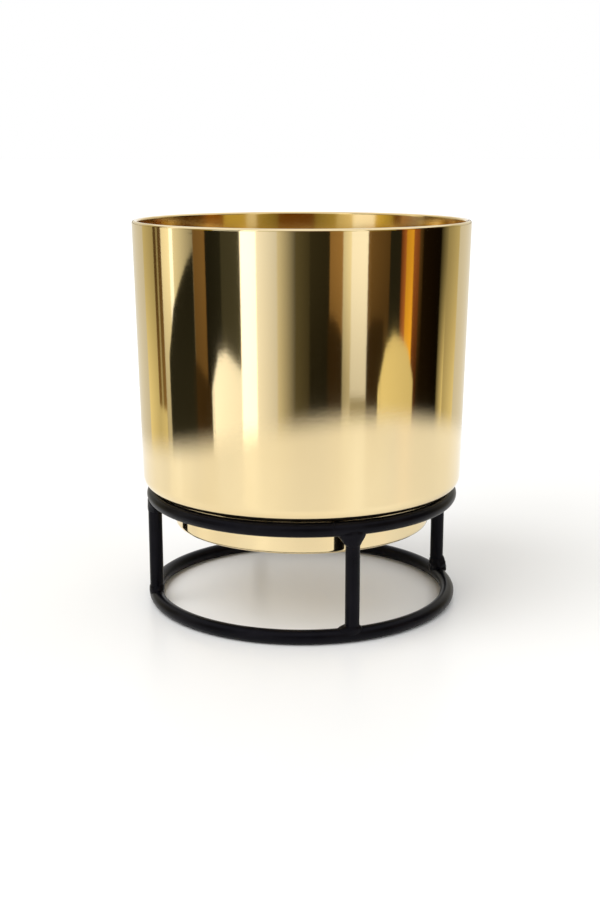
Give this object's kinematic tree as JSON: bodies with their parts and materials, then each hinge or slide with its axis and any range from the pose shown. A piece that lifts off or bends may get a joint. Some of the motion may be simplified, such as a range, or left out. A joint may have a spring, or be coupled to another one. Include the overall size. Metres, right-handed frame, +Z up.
{
  "type": "cachepot on stand",
  "caption": "Round tapered metal plant pot with a rolled rim and a stepped-in foot, hung by its shoulder in a low welded rod stand of rings and upright legs.",
  "frame": {"origin": "on the floor, at the middle of both stand rings, under the pot's axis", "axes": "+Z up along the pot's axis, -Y towards the leg that stands at the front in the picture"},
  "size_m": [0.19, 0.19, 0.22],
  "materials": {
    "polished_brass": "mirror polished",
    "black_powder_coat": "satin powder coat"
  },
  "bodies": {
    "stand": {"upper_ring": "black_powder_coat", "upper_ring_seam": "black_powder_coat", "lower_ring": "black_powder_coat", "lower_ring_seam": "black_powder_coat", "front_leg": "black_powder_coat", "front_top_weld": "black_powder_coat", "front_foot_weld": "black_powder_coat", "right_leg": "black_powder_coat", "right_top_weld": "black_powder_coat", "right_foot_weld": "black_powder_coat", "back_leg": "black_powder_coat", "back_top_weld": "black_powder_coat", "back_foot_weld": "black_powder_coat", "left_leg": "black_powder_coat", "left_top_weld": "black_powder_coat", "left_foot_weld": "black_powder_coat"},
    "pot": {"pot": "polished_brass"}
  },
  "joints": [
    {"name": "pot_lift", "type": "slide", "parent": "stand", "child": "pot", "axis": [0, 0, 1], "range_m": [0, 0.08]}
  ]
}
